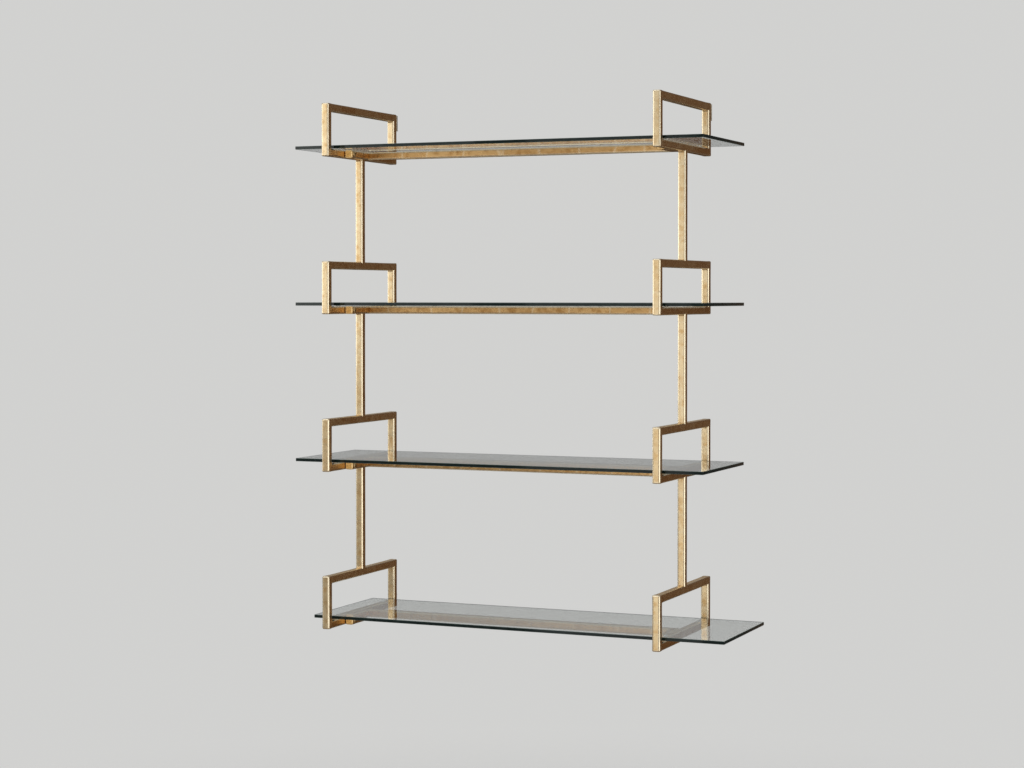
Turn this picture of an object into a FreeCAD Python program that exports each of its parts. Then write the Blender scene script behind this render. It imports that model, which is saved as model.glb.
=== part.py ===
import FreeCAD, Part
import Sketcher
import math
import os

# Wall shelf of square iron tube with four loose glass panes.
# Frame: +X to the right along the wall, +Y into the wall, +Z up, millimetres.
# Origin: midway between the entry holes of the two wall hangers, on the wall.

SIZES = [
    ("tube_size", 16.0, "outside width of the square tube"),
    ("tube_wall", 1.5, "wall of the tube"),
    ("tube_corner", 2.8, "outside corner radius of the tube"),
    ("cap_thickness", 3.0, "plate that closes a tube end"),
    ("cap_rounding", 2.2, "rounding of a cap's outer edge"),
    ("loop_depth", 310.0, "loop, from its back to its front"),
    ("loop_height", 106.0, "loop, from its lower to its upper end"),
    ("loop_spacing", 698.0, "left loop to right loop, centre to centre"),
    ("tier_pitch", 315.0, "one tier to the next"),
    ("arm_reach", 76.0, "crossbar arm, from the crossbar's front face"),
    ("pane_overhang", 75.0, "glass pane past the outer side of a loop, at each end"),
    ("pane_front_gap", 13.0, "glass pane from the front uprights"),
    ("pane_rear_gap", 5.0, "glass pane from the rear uprights"),
    ("pane_thickness", 6.4, "glass"),
    ("pane_arris", 0.7, "ground edge of the glass"),
    ("bottom_pane_shift", 42.0, "bottom pane, pushed to the right"),
    ("bumper_diameter", 10.0, "clear dot under the glass"),
    ("bumper_height", 1.0, "clear dot under the glass"),
    ("bumper_edge", 0.3, "bevel of the clear dot"),
    ("bumper_inset", 40.0, "clear dot from the upright"),
    ("bumper_spread", 360.0, "distance between the two dots on a crossbar"),
    ("bolt_diameter", 6.0, "bolt shank"),
    ("bolt_clearance", 0.3, "gap round the shank in the arm"),
    ("bolt_set_back", 9.0, "bolt from the arm's front end"),
    ("bolt_grip", 9.0, "bolt end past the arm's outer side"),
    ("bolt_head_diameter", 10.5, "bolt head"),
    ("bolt_head_height", 3.3, "bolt head"),
    ("bolt_head_rounding", 2.3, "rounded edge of the bolt head"),
    ("bolt_key_size", 4.0, "hexagon key, across flats"),
    ("bolt_key_depth", 2.0, "hexagon key recess"),
    ("nut_diameter", 9.0, "rivet nut barrel"),
    ("nut_collar_diameter", 11.0, "rivet nut, the part crimped behind the tube wall"),
    ("nut_collar_length", 3.5, "rivet nut, the part crimped behind the tube wall"),
    ("nut_length", 11.0, "rivet nut"),
    ("nut_clearance", 0.1, "gap round the bolt in the nut and round the nut in the tube"),
    ("hanger_thickness", 3.0, "wall hanger plate"),
    ("hanger_width", 16.0, "wall hanger plate, as wide as the tube"),
    ("hanger_height", 32.5, "wall hanger plate"),
    ("hanger_drop", 2.5, "plate below the top of its loop"),
    ("entry_diameter", 8.5, "keyhole, where the screw head enters"),
    ("entry_rise", 6.0, "keyhole entry above the plate's lower edge"),
    ("slot_width", 4.5, "keyhole slot for the screw shank"),
    ("slot_rise", 9.0, "slot end above the entry"),
    ("relief_clearance", 0.75, "room for the screw head in the tube wall, each side"),
    ("wall_bumper_diameter", 12.0, "pad behind a bottom loop"),
    ("wall_bumper_rise", 30.0, "pad above the loop's lower end"),
    ("wall_bumper_rounding", 1.0, "rounded edge of the pad"),
]

TIERS = ["top", "upper", "lower", "bottom"]
SIDES = {"left": -1, "right": 1}
POSTS = ["upper", "middle", "lower"]

ALONG_X = FreeCAD.Rotation(FreeCAD.Vector(0, 1, 0), 90)
ALONG_Y = FreeCAD.Rotation(FreeCAD.Vector(1, 0, 0), -90)
ALONG_Z = FreeCAD.Rotation()
TOWARDS_FRONT = FreeCAD.Rotation(FreeCAD.Vector(1, 0, 0), 90)
TOWARDS_FLOOR = FreeCAD.Rotation(FreeCAD.Vector(1, 0, 0), 180)

# Places that several pieces share, written as expressions of the sizes
BORE = "(sizes.tube_size - 2 * sizes.tube_wall)"
HALF_TUBE = "(sizes.tube_size / 2)"
HALF_SPACING = "(sizes.loop_spacing / 2)"
LOOP_BACK = "(-sizes.hanger_thickness)"
LOOP_FRONT = "(-sizes.hanger_thickness - sizes.loop_depth)"
LOOP_MIDDLE = "(-sizes.hanger_thickness - sizes.loop_depth / 2)"
LOOP_TOP = "(sizes.hanger_height - sizes.entry_rise + sizes.hanger_drop)"
FRONT_UPRIGHT = f"({LOOP_FRONT} + {HALF_TUBE})"
REAR_UPRIGHT = f"({LOOP_BACK} - {HALF_TUBE})"
BETWEEN_UPRIGHTS = "(sizes.loop_depth - 2 * sizes.tube_size)"
INNER_SIDE = f"({HALF_SPACING} - {HALF_TUBE})"
ARM_INNER_SIDE = f"({INNER_SIDE} - sizes.tube_size)"
ARM_MIDDLE = f"({INNER_SIDE} - {HALF_TUBE})"
ARM_FRONT = f"({LOOP_MIDDLE} - {HALF_TUBE} - sizes.arm_reach)"
BOLT_PLACE = f"({ARM_FRONT} + sizes.bolt_set_back)"
PANE_LENGTH = "(sizes.loop_spacing + sizes.tube_size + 2 * sizes.pane_overhang)"
PANE_DEPTH = f"({BETWEEN_UPRIGHTS} - sizes.pane_front_gap - sizes.pane_rear_gap)"
PANE_MIDDLE = f"({LOOP_MIDDLE} + (sizes.pane_front_gap - sizes.pane_rear_gap) / 2)"

SAME_LEVEL = 1e-4

doc = FreeCAD.newDocument("wall_shelf")
sheet = doc.addObject("Spreadsheet::Sheet", "sizes")


def fill_sheet():
    for row, (alias, size, meaning) in enumerate(SIZES, start=1):
        sheet.set(f"A{row}", meaning)
        sheet.set(f"B{row}", str(size))
        sheet.setAlias(f"B{row}", alias)
    doc.recompute()


def worked_out(expression):
    """The number that an expression of the sizes comes to."""
    return float(sheet.evalExpression(expression))


def tier_base(tier):
    """Lower end of a tier's loops, counted from the top tier down."""
    return f"({LOOP_TOP} - sizes.loop_height - {TIERS.index(tier)} * sizes.tier_pitch)"


def shelf_level(tier):
    """Upper face of a tier's shelf bars and crossbar."""
    return f"({tier_base(tier)} + sizes.tube_size)"


def new_body(label):
    body = doc.addObject("PartDesign::Body", label)
    body.Label = label
    return body


def place(piece, turn, x, y, z):
    """Turns a piece and ties its place to the sizes."""
    piece.Placement = FreeCAD.Placement(FreeCAD.Vector(), turn)
    for axis, expression in zip("xyz", (x, y, z)):
        piece.setExpression(f"Placement.Base.{axis}", str(expression))


def new_sketch(body, plane, name):
    sketch = body.newObject("Sketcher::SketchObject", name)
    support = next(item for item in body.Origin.OriginFeatures if item.Role == plane)
    sketch.AttachmentSupport = [(support, "")]
    sketch.MapMode = "FlatFace"
    return sketch


def bind(sketch, constraint, name, expression):
    """Adds a named dimension to a sketch and ties it to the sizes."""
    index = sketch.addConstraint(constraint)
    sketch.renameConstraint(index, name)
    sketch.setExpression(f"Constraints.{name}", expression)


def add_outline(sketch, corners):
    """A closed outline of straight lines. Returns the number of its first line."""
    points = [FreeCAD.Vector(x, y, 0) for x, y in corners]
    lines = [Part.LineSegment(points[i], points[(i + 1) % len(points)]) for i in range(len(points))]
    first = sketch.addGeometry(lines, False)[0]
    for i in range(len(lines)):
        following = first + (i + 1) % len(lines)
        sketch.addConstraint(Sketcher.Constraint("Coincident", first + i, 2, following, 1))
    return first


def add_rectangle(sketch, name, width, height, base=None):
    """A rectangle about the sketch's centre, or above it by base. Width and height are expressions."""
    half = worked_out(width) / 2
    tall = worked_out(height)
    low = -tall / 2 if base is None else worked_out(base)
    first = add_outline(sketch, [(-half, low), (half, low), (half, low + tall), (-half, low + tall)])
    for line, direction in ((1, "Vertical"), (2, "Horizontal"), (3, "Vertical")):
        sketch.addConstraint(Sketcher.Constraint(direction, first + line))
    if base is None:
        sketch.addConstraint(Sketcher.Constraint("Horizontal", first))
        sketch.addConstraint(Sketcher.Constraint("Symmetric", first, 1, first + 2, 1, -1, 1))
    else:
        sketch.addConstraint(Sketcher.Constraint("Symmetric", first, 1, first, 2, -2))
        bind(sketch, Sketcher.Constraint("DistanceY", -1, 1, first, 1, low), f"{name}_base", base)
    across = Sketcher.Constraint("DistanceX", first, 1, first, 2, 2 * half)
    bind(sketch, across, f"{name}_width", width)
    upwards = Sketcher.Constraint("DistanceY", first + 1, 1, first + 1, 2, tall)
    bind(sketch, upwards, f"{name}_height", height)


def add_rounded_square(sketch):
    """The outside of the tube: a square with round corners about the sketch's centre."""
    half = worked_out(HALF_TUBE)
    radius = worked_out("sizes.tube_corner")
    flat = half - radius
    upright = FreeCAD.Vector(0, 0, 1)
    items = []
    for quarter in range(4):
        turn = FreeCAD.Rotation(upright, 90 * quarter)
        start = turn.multVec(FreeCAD.Vector(-flat, -half, 0))
        end = turn.multVec(FreeCAD.Vector(flat, -half, 0))
        centre = turn.multVec(FreeCAD.Vector(flat, -flat, 0))
        begin = math.radians(90 * quarter - 90)
        items.append(Part.LineSegment(start, end))
        items.append(Part.ArcOfCircle(Part.Circle(centre, upright, radius), begin, begin + math.pi / 2))
    first = sketch.addGeometry(items, False)[0]
    for i in range(8):
        sketch.addConstraint(Sketcher.Constraint("Tangent", first + i, 2, first + (i + 1) % 8, 1))
    for quarter, direction in enumerate(("Horizontal", "Vertical", "Horizontal", "Vertical")):
        sketch.addConstraint(Sketcher.Constraint(direction, first + 2 * quarter))
    for arc in (3, 5, 7):
        sketch.addConstraint(Sketcher.Constraint("Equal", first + 1, first + arc))
    sketch.addConstraint(Sketcher.Constraint("Symmetric", first + 1, 3, first + 5, 3, -1, 1))
    across = Sketcher.Constraint("DistanceX", first + 6, 1, first + 2, 1, 2 * half)
    bind(sketch, across, "outer_width", "sizes.tube_size")
    upwards = Sketcher.Constraint("DistanceY", first, 1, first + 4, 1, 2 * half)
    bind(sketch, upwards, "outer_height", "sizes.tube_size")
    bind(sketch, Sketcher.Constraint("Radius", first + 1, radius), "corner", "sizes.tube_corner")


def add_circle(sketch, name, diameter, height=None):
    """A circle at the sketch's centre, or straight above it by height."""
    up = 0.0 if height is None else worked_out(height)
    radius = worked_out(diameter) / 2
    circle = Part.Circle(FreeCAD.Vector(0, up, 0), FreeCAD.Vector(0, 0, 1), radius)
    index = sketch.addGeometry(circle, False)
    if height is None:
        sketch.addConstraint(Sketcher.Constraint("Coincident", index, 3, -1, 1))
    else:
        sketch.addConstraint(Sketcher.Constraint("PointOnObject", index, 3, -2))
        bind(sketch, Sketcher.Constraint("DistanceY", -1, 1, index, 3, up), f"{name}_height", height)
    bind(sketch, Sketcher.Constraint("Diameter", index, 2 * radius), f"{name}_diameter", diameter)


def add_hexagon(sketch, across_flats):
    """A hexagon about the sketch's centre, held in a construction circle."""
    radius = worked_out(across_flats) / math.sqrt(3)
    angles = [math.radians(60 * i) for i in range(6)]
    first = add_outline(sketch, [(radius * math.cos(angle), radius * math.sin(angle)) for angle in angles])
    circle = Part.Circle(FreeCAD.Vector(), FreeCAD.Vector(0, 0, 1), radius)
    ring = sketch.addGeometry(circle, True)
    sketch.addConstraint(Sketcher.Constraint("Coincident", ring, 3, -1, 1))
    for i in range(6):
        sketch.addConstraint(Sketcher.Constraint("PointOnObject", first + i, 1, ring))
    for i in range(1, 6):
        sketch.addConstraint(Sketcher.Constraint("Equal", first, first + i))
    sketch.addConstraint(Sketcher.Constraint("PointOnObject", first, 1, -1))
    bind(sketch, Sketcher.Constraint("Radius", ring, radius), "key_radius", f"{across_flats} / sqrt(3)")


def add_pad(body, sketch, length, name="pad"):
    pad = body.newObject("PartDesign::Pad", name)
    pad.Profile = sketch
    pad.setExpression("Length", length)
    return pad


def add_cut(body, sketch, name, sides="Symmetric", reverse=False):
    """Cuts a sketch right through, both ways or one way, and makes sure that it took something off."""
    doc.recompute()
    before = body.Shape.Volume
    cut = body.newObject("PartDesign::Pocket", name)
    cut.Profile = sketch
    cut.Type = "ThroughAll"
    cut.SideType = sides
    cut.Reversed = reverse
    doc.recompute()
    if not body.Shape.Volume < before:
        raise RuntimeError(f"{name} of {body.Label} cut nothing")


def make_tube(label, length):
    """A straight hollow square tube, standing on its own origin."""
    body = new_body(label)
    sketch = new_sketch(body, "XY_Plane", "section")
    add_rounded_square(sketch)
    add_rectangle(sketch, "bore", BORE, BORE)
    add_pad(body, sketch, length)
    return body


def cut_mitre(body, plane, name, outer, end, inward):
    """Cuts a tube's end at 45 degrees.

    Outer is +1 or -1, the side that stays long, end the level of the long side's end, and inward
    +1 or -1, the way from that end into the tube. The cut is a right-angled triangle whose slanted
    side crosses the tube from the long side's end. Its other sides stand clear of the tube."""
    clear = worked_out("sizes.tube_size")
    half = worked_out(HALF_TUBE)
    long_end = worked_out(end)
    sketch = new_sketch(body, plane, name)
    tip = (outer * (half + clear), long_end - inward * clear)
    foot = (-outer * (half + clear), long_end - inward * clear)
    peak = (-outer * (half + clear), long_end + inward * (2 * half + clear))
    first = add_outline(sketch, [tip, foot, peak])
    sketch.addConstraint(Sketcher.Constraint("Vertical", first + 1))
    sketch.addConstraint(Sketcher.Constraint("Symmetric", first, 1, first, 2, -2))
    sketch.addConstraint(Sketcher.Constraint("Equal", first, first + 1))
    left, right = ((first, 2), (first, 1)) if outer > 0 else ((first, 1), (first, 2))
    leg = Sketcher.Constraint("DistanceX", *left, *right, 2 * (half + clear))
    bind(sketch, leg, "leg", "3 * sizes.tube_size")
    level = Sketcher.Constraint("DistanceY", -1, 1, first, 1, long_end - inward * clear)
    bind(sketch, level, "level", f"{end} - {inward} * sizes.tube_size")
    add_cut(body, sketch, name + "_cut")


def make_upright(label, tier, sign, depth_place):
    tube = make_tube(label, "sizes.loop_height - 2 * sizes.cap_thickness")
    foot = f"{tier_base(tier)} + sizes.cap_thickness"
    place(tube, ALONG_Z, f"{sign} * {HALF_SPACING}", depth_place, foot)
    return tube


def cut_hanger_relief(upright):
    """Opens the rear wall of a top loop's rear upright, so that a screw head has room in it."""
    entry = f"(-{tier_base('top')} - sizes.cap_thickness)"
    width = "(sizes.entry_diameter + 2 * sizes.relief_clearance)"
    sketch = new_sketch(upright, "XZ_Plane", "hanger_relief")
    add_rectangle(sketch, "relief", width, f"sizes.slot_rise + {width}", f"{entry} - {width} / 2")
    add_cut(upright, sketch, "hanger_relief_cut", sides="One side")


def make_loop_bar(label, sign, level):
    """A bar of a loop, from the front upright to the rear one."""
    bar = make_tube(label, BETWEEN_UPRIGHTS)
    place(bar, ALONG_Y, f"{sign} * {HALF_SPACING}", f"{LOOP_FRONT} + sizes.tube_size", level)
    return bar


def drill_nut_hole(shelf_bar, sign):
    """The hole for a rivet nut, in the inner wall of a shelf bar only."""
    sketch = new_sketch(shelf_bar, "YZ_Plane", "nut_hole")
    along = f"{BOLT_PLACE} - {LOOP_FRONT} - sizes.tube_size"
    add_circle(sketch, "nut_hole", "sizes.nut_diameter + 2 * sizes.nut_clearance", along)
    add_cut(shelf_bar, sketch, "nut_hole_cut", sides="One side", reverse=sign < 0)


def make_loop(side, sign, tier):
    name = f"{side}_{tier}_loop"
    head_level = f"{tier_base(tier)} + sizes.loop_height - {HALF_TUBE}"
    front = make_upright(f"{name}_front_upright", tier, sign, FRONT_UPRIGHT)
    rear = make_upright(f"{name}_rear_upright", tier, sign, REAR_UPRIGHT)
    head = make_loop_bar(f"{name}_head_bar", sign, head_level)
    shelf = make_loop_bar(f"{name}_shelf_bar", sign, f"{tier_base(tier)} + {HALF_TUBE}")
    drill_nut_hole(shelf, sign)
    if tier == "top":
        cut_hanger_relief(rear)
    return [front, rear, head, shelf]


def make_post(side, sign, post, tier_below):
    tube = make_tube(f"{side}_{post}_post", "sizes.tier_pitch - sizes.loop_height")
    foot = f"{tier_base(tier_below)} + sizes.loop_height"
    place(tube, ALONG_Z, f"{sign} * {HALF_SPACING}", LOOP_MIDDLE, foot)
    return tube


def make_crossbar(tier):
    """The long bar of a tier, mitred at both ends where its arms turn forwards."""
    length = f"(2 * {INNER_SIDE})"
    bar = make_tube(f"{tier}_crossbar", length)
    cut_mitre(bar, "YZ_Plane", "left_mitre", 1, "0", 1)
    cut_mitre(bar, "YZ_Plane", "right_mitre", 1, length, -1)
    place(bar, ALONG_X, f"-{INNER_SIDE}", LOOP_MIDDLE, f"{tier_base(tier)} + {HALF_TUBE}")
    return bar


def make_arm(side, sign, tier):
    """A forward arm of a crossbar, which lies against the shelf bar and takes one bolt."""
    length = "(sizes.arm_reach + sizes.tube_size - sizes.cap_thickness)"
    arm = make_tube(f"{tier}_crossbar_{side}_arm", length)
    cut_mitre(arm, "XZ_Plane", "mitre", sign, length, -1)
    sketch = new_sketch(arm, "YZ_Plane", "bolt_hole")
    hole = "sizes.bolt_diameter + 2 * sizes.bolt_clearance"
    add_circle(sketch, "bolt_hole", hole, "sizes.bolt_set_back - sizes.cap_thickness")
    add_cut(arm, sketch, "bolt_hole_cut")
    level = f"{tier_base(tier)} + {HALF_TUBE}"
    place(arm, ALONG_Y, f"{sign} * {ARM_MIDDLE}", f"{ARM_FRONT} + sizes.cap_thickness", level)
    return arm


def make_pane(tier):
    """A glass pane with ground edges, lying on its bumpers."""
    body = new_body(f"{tier}_glass_shelf")
    sketch = new_sketch(body, "XY_Plane", "outline")
    add_rectangle(sketch, "pane", PANE_LENGTH, PANE_DEPTH)
    pad = add_pad(body, sketch, "sizes.pane_thickness")
    doc.recompute()
    arris = body.newObject("PartDesign::Chamfer", "arris")
    arris.Base = (pad, [f"Edge{i + 1}" for i in range(len(pad.Shape.Edges))])
    arris.setExpression("Size", "sizes.pane_arris")
    shift = "sizes.bottom_pane_shift" if tier == "bottom" else "0"
    place(body, ALONG_Z, shift, PANE_MIDDLE, f"{shelf_level(tier)} + sizes.bumper_height")
    return body


def edges_at(shape, height):
    """Names of the edges that lie wholly at one height."""
    names = []
    for number, edge in enumerate(shape.Edges, start=1):
        box = edge.BoundBox
        if max(abs(box.ZMin - height), abs(box.ZMax - height)) < SAME_LEVEL:
            names.append(f"Edge{number}")
    return names


def dress_end(body, pad, kind, size, height):
    """Rounds or bevels the edges round the far end of a pad."""
    doc.recompute()
    finish = body.newObject(f"PartDesign::{kind}", "soft_edge")
    finish.Base = (pad, edges_at(pad.Shape, worked_out(height)))
    finish.setExpression("Radius" if kind == "Fillet" else "Size", size)
    return finish


def make_cap():
    body = new_body("end_cap_pattern")
    sketch = new_sketch(body, "XY_Plane", "outline")
    add_rounded_square(sketch)
    pad = add_pad(body, sketch, "sizes.cap_thickness")
    dress_end(body, pad, "Fillet", "sizes.cap_rounding", "sizes.cap_thickness")
    return body


def make_disc(label, diameter, height, kind, edge_size):
    body = new_body(f"{label}_pattern")
    sketch = new_sketch(body, "XY_Plane", "outline")
    add_circle(sketch, "disc", f"sizes.{diameter}")
    pad = add_pad(body, sketch, f"sizes.{height}")
    dress_end(body, pad, kind, f"sizes.{edge_size}", f"sizes.{height}")
    return body


def make_bolt():
    """A bolt with a round head and a hexagon recess, its shank along +Z from the seat of the head."""
    body = new_body("bolt_pattern")
    shank = new_sketch(body, "XY_Plane", "shank")
    add_circle(shank, "shank", "sizes.bolt_diameter")
    add_pad(body, shank, "sizes.tube_size + sizes.bolt_grip", "shank_pad")
    head = new_sketch(body, "XY_Plane", "head")
    add_circle(head, "head", "sizes.bolt_head_diameter")
    pad = add_pad(body, head, "sizes.bolt_head_height", "head_pad")
    pad.Reversed = True
    dress_end(body, pad, "Fillet", "sizes.bolt_head_rounding", "-sizes.bolt_head_height")
    key = new_sketch(body, "XY_Plane", "key")
    key.setExpression("AttachmentOffset.Base.z", "-sizes.bolt_head_height")
    add_hexagon(key, "sizes.bolt_key_size")
    doc.recompute()
    before = body.Shape.Volume
    recess = body.newObject("PartDesign::Pocket", "key_recess")
    recess.Profile = key
    recess.Reversed = True
    recess.setExpression("Length", "sizes.bolt_key_depth")
    doc.recompute()
    if not body.Shape.Volume < before:
        raise RuntimeError("the key recess cut nothing")
    return body


def make_nut():
    """A rivet nut: a barrel through the tube wall and a crimped collar behind it, open along +Z."""
    body = new_body("nut_pattern")
    barrel = new_sketch(body, "XY_Plane", "barrel")
    add_circle(barrel, "barrel", "sizes.nut_diameter")
    add_pad(body, barrel, "sizes.nut_length", "barrel_pad")
    collar = new_sketch(body, "XY_Plane", "collar")
    collar.setExpression("AttachmentOffset.Base.z", "sizes.tube_wall")
    add_circle(collar, "collar", "sizes.nut_collar_diameter")
    add_pad(body, collar, "sizes.nut_collar_length", "collar_pad")
    bore = new_sketch(body, "XY_Plane", "bore")
    add_circle(bore, "bore", "sizes.bolt_diameter + 2 * sizes.nut_clearance")
    add_cut(body, bore, "bore_cut")
    return body


def make_hanger():
    """A wall hanger plate with a keyhole: the entry hole at its origin and the slot above it."""
    body = new_body("hanger_pattern")
    sketch = new_sketch(body, "XY_Plane", "plate")
    add_rectangle(sketch, "plate", "sizes.hanger_width", "sizes.hanger_height", "-sizes.entry_rise")
    add_pad(body, sketch, "sizes.hanger_thickness")
    entry = new_sketch(body, "XY_Plane", "entry")
    add_circle(entry, "entry", "sizes.entry_diameter")
    add_cut(body, entry, "entry_cut")
    slot = new_sketch(body, "XY_Plane", "slot")
    add_rectangle(slot, "slot", "sizes.slot_width", "sizes.slot_rise", "0")
    add_cut(body, slot, "slot_cut")
    slot_end = new_sketch(body, "XY_Plane", "slot_end")
    add_circle(slot_end, "slot_end", "sizes.slot_width", "sizes.slot_rise")
    add_cut(body, slot_end, "slot_end_cut")
    return body


def make_group(label, pattern, places):
    """Separate copies of one small piece under one name. A place is a turn and three expressions."""
    copies = []
    for number, (turn, x, y, z) in enumerate(places, start=1):
        copy = doc.addObject("App::Link", f"{label}_{number}")
        copy.LinkedObject = pattern
        place(copy, turn, x, y, z)
        copies.append(copy)
    group = doc.addObject("Part::Compound", label)
    group.Label = label
    group.Links = copies
    return group


def cap_places():
    """Both ends of every upright, and the front end of every crossbar arm."""
    places = []
    for tier in TIERS:
        for sign in SIDES.values():
            for depth_place in (FRONT_UPRIGHT, REAR_UPRIGHT):
                across = f"{sign} * {HALF_SPACING}"
                upper = f"{tier_base(tier)} + sizes.loop_height - sizes.cap_thickness"
                lower = f"{tier_base(tier)} + sizes.cap_thickness"
                places.append((ALONG_Z, across, depth_place, upper))
                places.append((TOWARDS_FLOOR, across, depth_place, lower))
            arm_end = f"{ARM_FRONT} + sizes.cap_thickness"
            level = f"{tier_base(tier)} + {HALF_TUBE}"
            places.append((TOWARDS_FRONT, f"{sign} * {ARM_MIDDLE}", arm_end, level))
    return places


def bumper_places():
    """Two dots on each shelf bar and two on each crossbar."""
    front = f"{LOOP_FRONT} + sizes.tube_size + sizes.bumper_inset"
    rear = f"{LOOP_BACK} - sizes.tube_size - sizes.bumper_inset"
    places = []
    for tier in TIERS:
        for sign in SIDES.values():
            places.append((ALONG_Z, f"{sign} * {HALF_SPACING}", front, shelf_level(tier)))
            places.append((ALONG_Z, f"{sign} * {HALF_SPACING}", rear, shelf_level(tier)))
            places.append((ALONG_Z, f"{sign} * sizes.bumper_spread / 2", LOOP_MIDDLE, shelf_level(tier)))
    return places


def bolt_places(across):
    """One spot at each arm's bolt, pointing outwards into the shelf bar."""
    outwards = {-1: FreeCAD.Rotation(FreeCAD.Vector(0, 1, 0), -90), 1: ALONG_X}
    places = []
    for tier in TIERS:
        level = f"{tier_base(tier)} + {HALF_TUBE}"
        for sign in SIDES.values():
            places.append((outwards[sign], f"{sign} * {across}", BOLT_PLACE, level))
    return places


def hanger_places():
    return [(TOWARDS_FRONT, f"{sign} * {HALF_SPACING}", "0", "0") for sign in SIDES.values()]


def wall_bumper_places():
    level = f"{tier_base('bottom')} + sizes.wall_bumper_rise"
    return [(ALONG_Y, f"{sign} * {HALF_SPACING}", LOOP_BACK, level) for sign in SIDES.values()]


def check(pieces):
    """Stops unless every object worked out and every piece is a sound solid."""
    for item in doc.Objects:
        if "Invalid" in item.State or "Error" in item.State:
            raise RuntimeError(f"{item.Label} failed: {item.State}")
    for piece in pieces:
        if piece.Shape.isNull() or not piece.Shape.isValid() or not piece.Shape.Solids:
            raise RuntimeError(f"{piece.Label} isn't a sound solid")


fill_sheet()
nodes = []
for tier in TIERS:
    for side, sign in SIDES.items():
        nodes += make_loop(side, sign, tier)
        nodes.append(make_arm(side, sign, tier))
    nodes.append(make_crossbar(tier))
    nodes.append(make_pane(tier))
for post, tier_below in zip(POSTS, TIERS[1:]):
    for side, sign in SIDES.items():
        nodes.append(make_post(side, sign, post, tier_below))

bumper = make_disc("bumper", "bumper_diameter", "bumper_height", "Chamfer", "bumper_edge")
wall_bumper = make_disc(
    "wall_bumper", "wall_bumper_diameter", "hanger_thickness", "Fillet", "wall_bumper_rounding"
)
nodes.append(make_group("tube_end_caps", make_cap(), cap_places()))
nodes.append(make_group("shelf_bumpers", bumper, bumper_places()))
nodes.append(make_group("crossbar_bolts", make_bolt(), bolt_places(ARM_INNER_SIDE)))
nodes.append(make_group("rivet_nuts", make_nut(), bolt_places(INNER_SIDE)))
nodes.append(make_group("wall_hangers", make_hanger(), hanger_places()))
nodes.append(make_group("wall_bumpers", wall_bumper, wall_bumper_places()))

doc.recompute()
check(nodes)
os.makedirs("parts", exist_ok=True)
for node in nodes:
    node.Shape.exportStep(f"parts/{node.Label}.step")
    print(node.Label, len(node.Shape.Solids), round(node.Shape.Volume, 1))
print(len(nodes), "nodes")
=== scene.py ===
"""Gold-leafed wall shelf with four loose glass panes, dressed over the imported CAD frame."""

import math

import bmesh
import bpy
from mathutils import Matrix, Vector


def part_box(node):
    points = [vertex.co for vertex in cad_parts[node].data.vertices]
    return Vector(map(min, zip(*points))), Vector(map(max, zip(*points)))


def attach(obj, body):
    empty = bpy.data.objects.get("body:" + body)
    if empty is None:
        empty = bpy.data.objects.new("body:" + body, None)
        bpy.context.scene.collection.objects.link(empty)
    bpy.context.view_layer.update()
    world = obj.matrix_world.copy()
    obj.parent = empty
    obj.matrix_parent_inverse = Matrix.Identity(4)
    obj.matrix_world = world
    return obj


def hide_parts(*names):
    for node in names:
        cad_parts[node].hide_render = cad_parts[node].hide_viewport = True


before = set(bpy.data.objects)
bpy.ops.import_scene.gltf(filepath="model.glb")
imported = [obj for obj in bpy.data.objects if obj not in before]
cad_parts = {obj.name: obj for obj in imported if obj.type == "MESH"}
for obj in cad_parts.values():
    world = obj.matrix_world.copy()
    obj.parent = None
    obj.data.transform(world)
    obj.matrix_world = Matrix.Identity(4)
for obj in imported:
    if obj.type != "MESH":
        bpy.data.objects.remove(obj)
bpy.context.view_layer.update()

SIDES = ("left", "right")
TIERS = ("top", "upper", "lower", "bottom")
POSTS = ("upper", "middle", "lower")
UPRIGHTS = ("front_upright", "rear_upright")

# Sizes in metres, with the steps and forms of the roundings.
CORNER = 0.0028          # rounding of the tube's long edges
SHOULDER = 0.0045        # where the leafed face begins to fall away towards that rounding
SHOULDER_FORM = 0.63     # bevel profile: nearly flat at first, then round
SHOULDER_STEPS = 8       # flats across the shoulder and its rounding
FACE_CUTS = 3            # cuts along the flat of a tube's face
RING_PITCH = 0.009       # spacing of the rings that let the skin sway
FEWEST_RINGS = 2         # rings on the shortest tube
CAP_ROUNDING = 0.0022    # rounding of a cap's outer edge
CAP_RINGS = 6            # steps of that rounding
CAP_FLAT = 0.92          # share of a cap's face that is quite flat
RUN_IN = 0.0042          # how far a bar runs into its neighbour's rounded edge, so the weld is flush
SKIN_SWAY = 0.00028      # how far the hand-finished skin dips below true
SKIN_CLOUD = 0.028       # size of those dips
SKIN_DETAIL = 1          # layers of clouds that make them
SWAY_START = 0.002       # the skin is true this close to a weld
SWAY_FULL = 0.016        # and dips freely from here on
WEAR_AND_HIGHLIGHT_FULL = 0.0012       # wear of the leaf, and the painted highlight, beside an outer corner: full to here
WEAR_AND_HIGHLIGHT_END = 0.0040        # and gone from here
JOINT_SHADE_FULL = 0.0004       # painted shade in the joint beside an arm's end: full to here
JOINT_SHADE_END = 0.0020        # and gone from here
WELD = 0.0024            # leg of a weld fillet
WELD_HOLLOW = 0.92       # share of the leg that the hollow face takes
WELD_FORM = 0.12         # bevel profile: hollow
WELD_STEPS = 5           # flats across the hollow face
WELD_CUTS = 7            # cuts along the fillet
WELD_REACH = 0.003       # the wear and the painted highlight of a fillet are those of a place this far from an outer corner
ARRIS = 0.0007           # ground corner of the glass
PANE_CORNER = 0.0012     # rounding of a pane's four upright corners
PANE_CORNER_STEPS = 3    # flats of that rounding

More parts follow.
